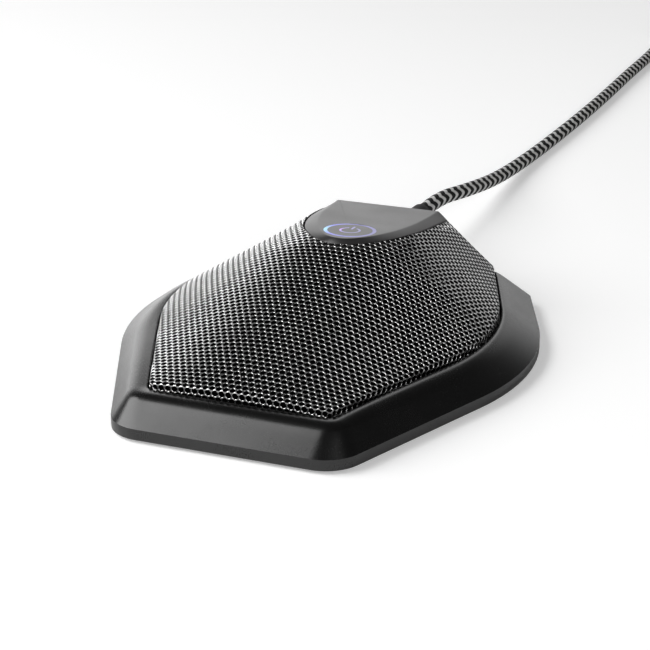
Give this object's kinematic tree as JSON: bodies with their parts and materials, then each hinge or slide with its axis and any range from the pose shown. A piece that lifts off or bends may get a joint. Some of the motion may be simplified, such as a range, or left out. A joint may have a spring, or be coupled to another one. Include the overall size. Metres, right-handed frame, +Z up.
{
  "type": "table-top conference microphone",
  "caption": "Low six-sided table microphone with a domed perforated grille, a tilted touch panel with a light ring, and a braided USB lead with its plug.",
  "frame": {"origin": "on the table, under the middle of the microphone's box (the lead, coil and plug left out)", "axes": "+Z up, +Y from the front to the back where the lead leaves, +X to the right seen from the front"},
  "size_m": [0.1332, 0.4587, 0.0263],
  "materials": {
    "base_plastic": "satin black plastic",
    "can_metal": "drawn aluminium can",
    "case_plastic": "satin black plastic with a fine grain",
    "chip_plastic": "black epoxy with tinned leads",
    "circuit_board": "green solder mask",
    "cloth": "black acoustic cloth",
    "conductive_foam": "conductive foam",
    "contact_gold": "gold-plated contacts",
    "grille_steel": "perforated steel, black paint, bright on the edges of the holes",
    "icon_light": "translucent plastic lit violet",
    "inner_plastic": "black moulded plastic",
    "lead_braid": "black and white textile braid",
    "led_plastic": "white LED package",
    "pad_rubber": "soft matt black rubber",
    "panel_plastic": "satin graphite-grey plastic",
    "plug_metal": "nickel-plated steel",
    "plug_plastic": "black moulded plastic",
    "relief_rubber": "black moulded rubber",
    "ribbon_plastic": "amber polyimide",
    "ring_light": "translucent plastic lit blue and violet",
    "screw_steel": "zinc-plated steel",
    "steel_plate": "zinc-plated steel",
    "tie_fabric": "black hook-and-loop strap",
    "white_plastic": "white nylon",
    "wire_plastic": "red wire insulation"
  },
  "bodies": {
    "root": {"ballast_plate": "steel_plate", "board_screws": "screw_steel", "bottom_cover": "base_plastic", "cable_connector": "white_plastic", "cable_header": "white_plastic", "cable_tie": "tie_fabric", "capacitors": "can_metal", "capsule_boot": "pad_rubber", "capsule_holder": "inner_plastic", "capsule_leads": "wire_plastic", "carrier_screws": "screw_steel", "case_screws": "screw_steel", "clamp_screws": "screw_steel", "cord_clamp": "inner_plastic", "crystal": "can_metal", "dust_cloth": "cloth", "grille": "grille_steel", "grille_retainer": "inner_plastic", "holder_screws": "screw_steel", "inner_lead": "lead_braid", "lead": "lead_braid", "lead_coil": "lead_braid", "main_board": "circuit_board", "mic_capsule": "can_metal", "nonslip_pad": "pad_rubber", "panel_carrier": "inner_plastic", "plug_body": "plug_plastic", "plug_contacts": "contact_gold", "plug_relief": "relief_rubber", "plug_shell": "plug_metal", "plug_tongue": "white_plastic", "power_icon_lens": "icon_light", "ribbon_lead": "ribbon_plastic", "ring_leds": "led_plastic", "ring_light_guide": "ring_light", "strain_relief": "relief_rubber", "top_case": "case_plastic", "touch_board": "circuit_board", "touch_disc": "panel_plastic", "touch_pad_foam": "conductive_foam", "touch_panel": "panel_plastic", "usb_audio_chip": "chip_plastic"}
  },
  "joints": []
}
